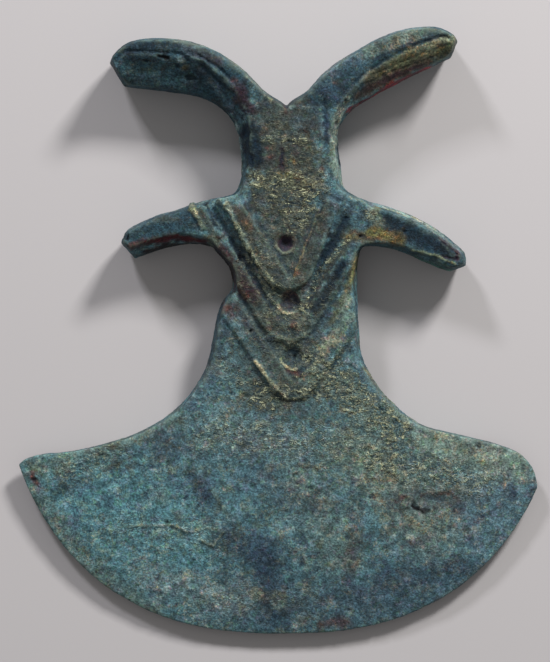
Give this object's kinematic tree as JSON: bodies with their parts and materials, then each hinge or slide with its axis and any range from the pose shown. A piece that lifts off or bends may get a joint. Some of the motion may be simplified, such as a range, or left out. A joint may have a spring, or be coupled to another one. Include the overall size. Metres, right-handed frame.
{
  "type": "bronze axe head",
  "caption": "Crescent-bladed cast axe head with a chevron-carved waist, a pair of drooping side arms, a neck for the haft lashing and curved horns at the butt.",
  "frame": {"origin": "middle of the outline, on the flat back that the axe head lies on", "axes": "+Z out of the decorated front face, +Y from the cutting edge towards the horns, +X across the blade"},
  "size_m": [0.1506, 0.1762, 0.0193],
  "materials": {
    "patinated_bronze": "matte blue-green corrosion patina with pale green rims, olive crust and red-brown spots"
  },
  "bodies": {
    "root": {"axe_head": "patinated_bronze"}
  },
  "joints": []
}
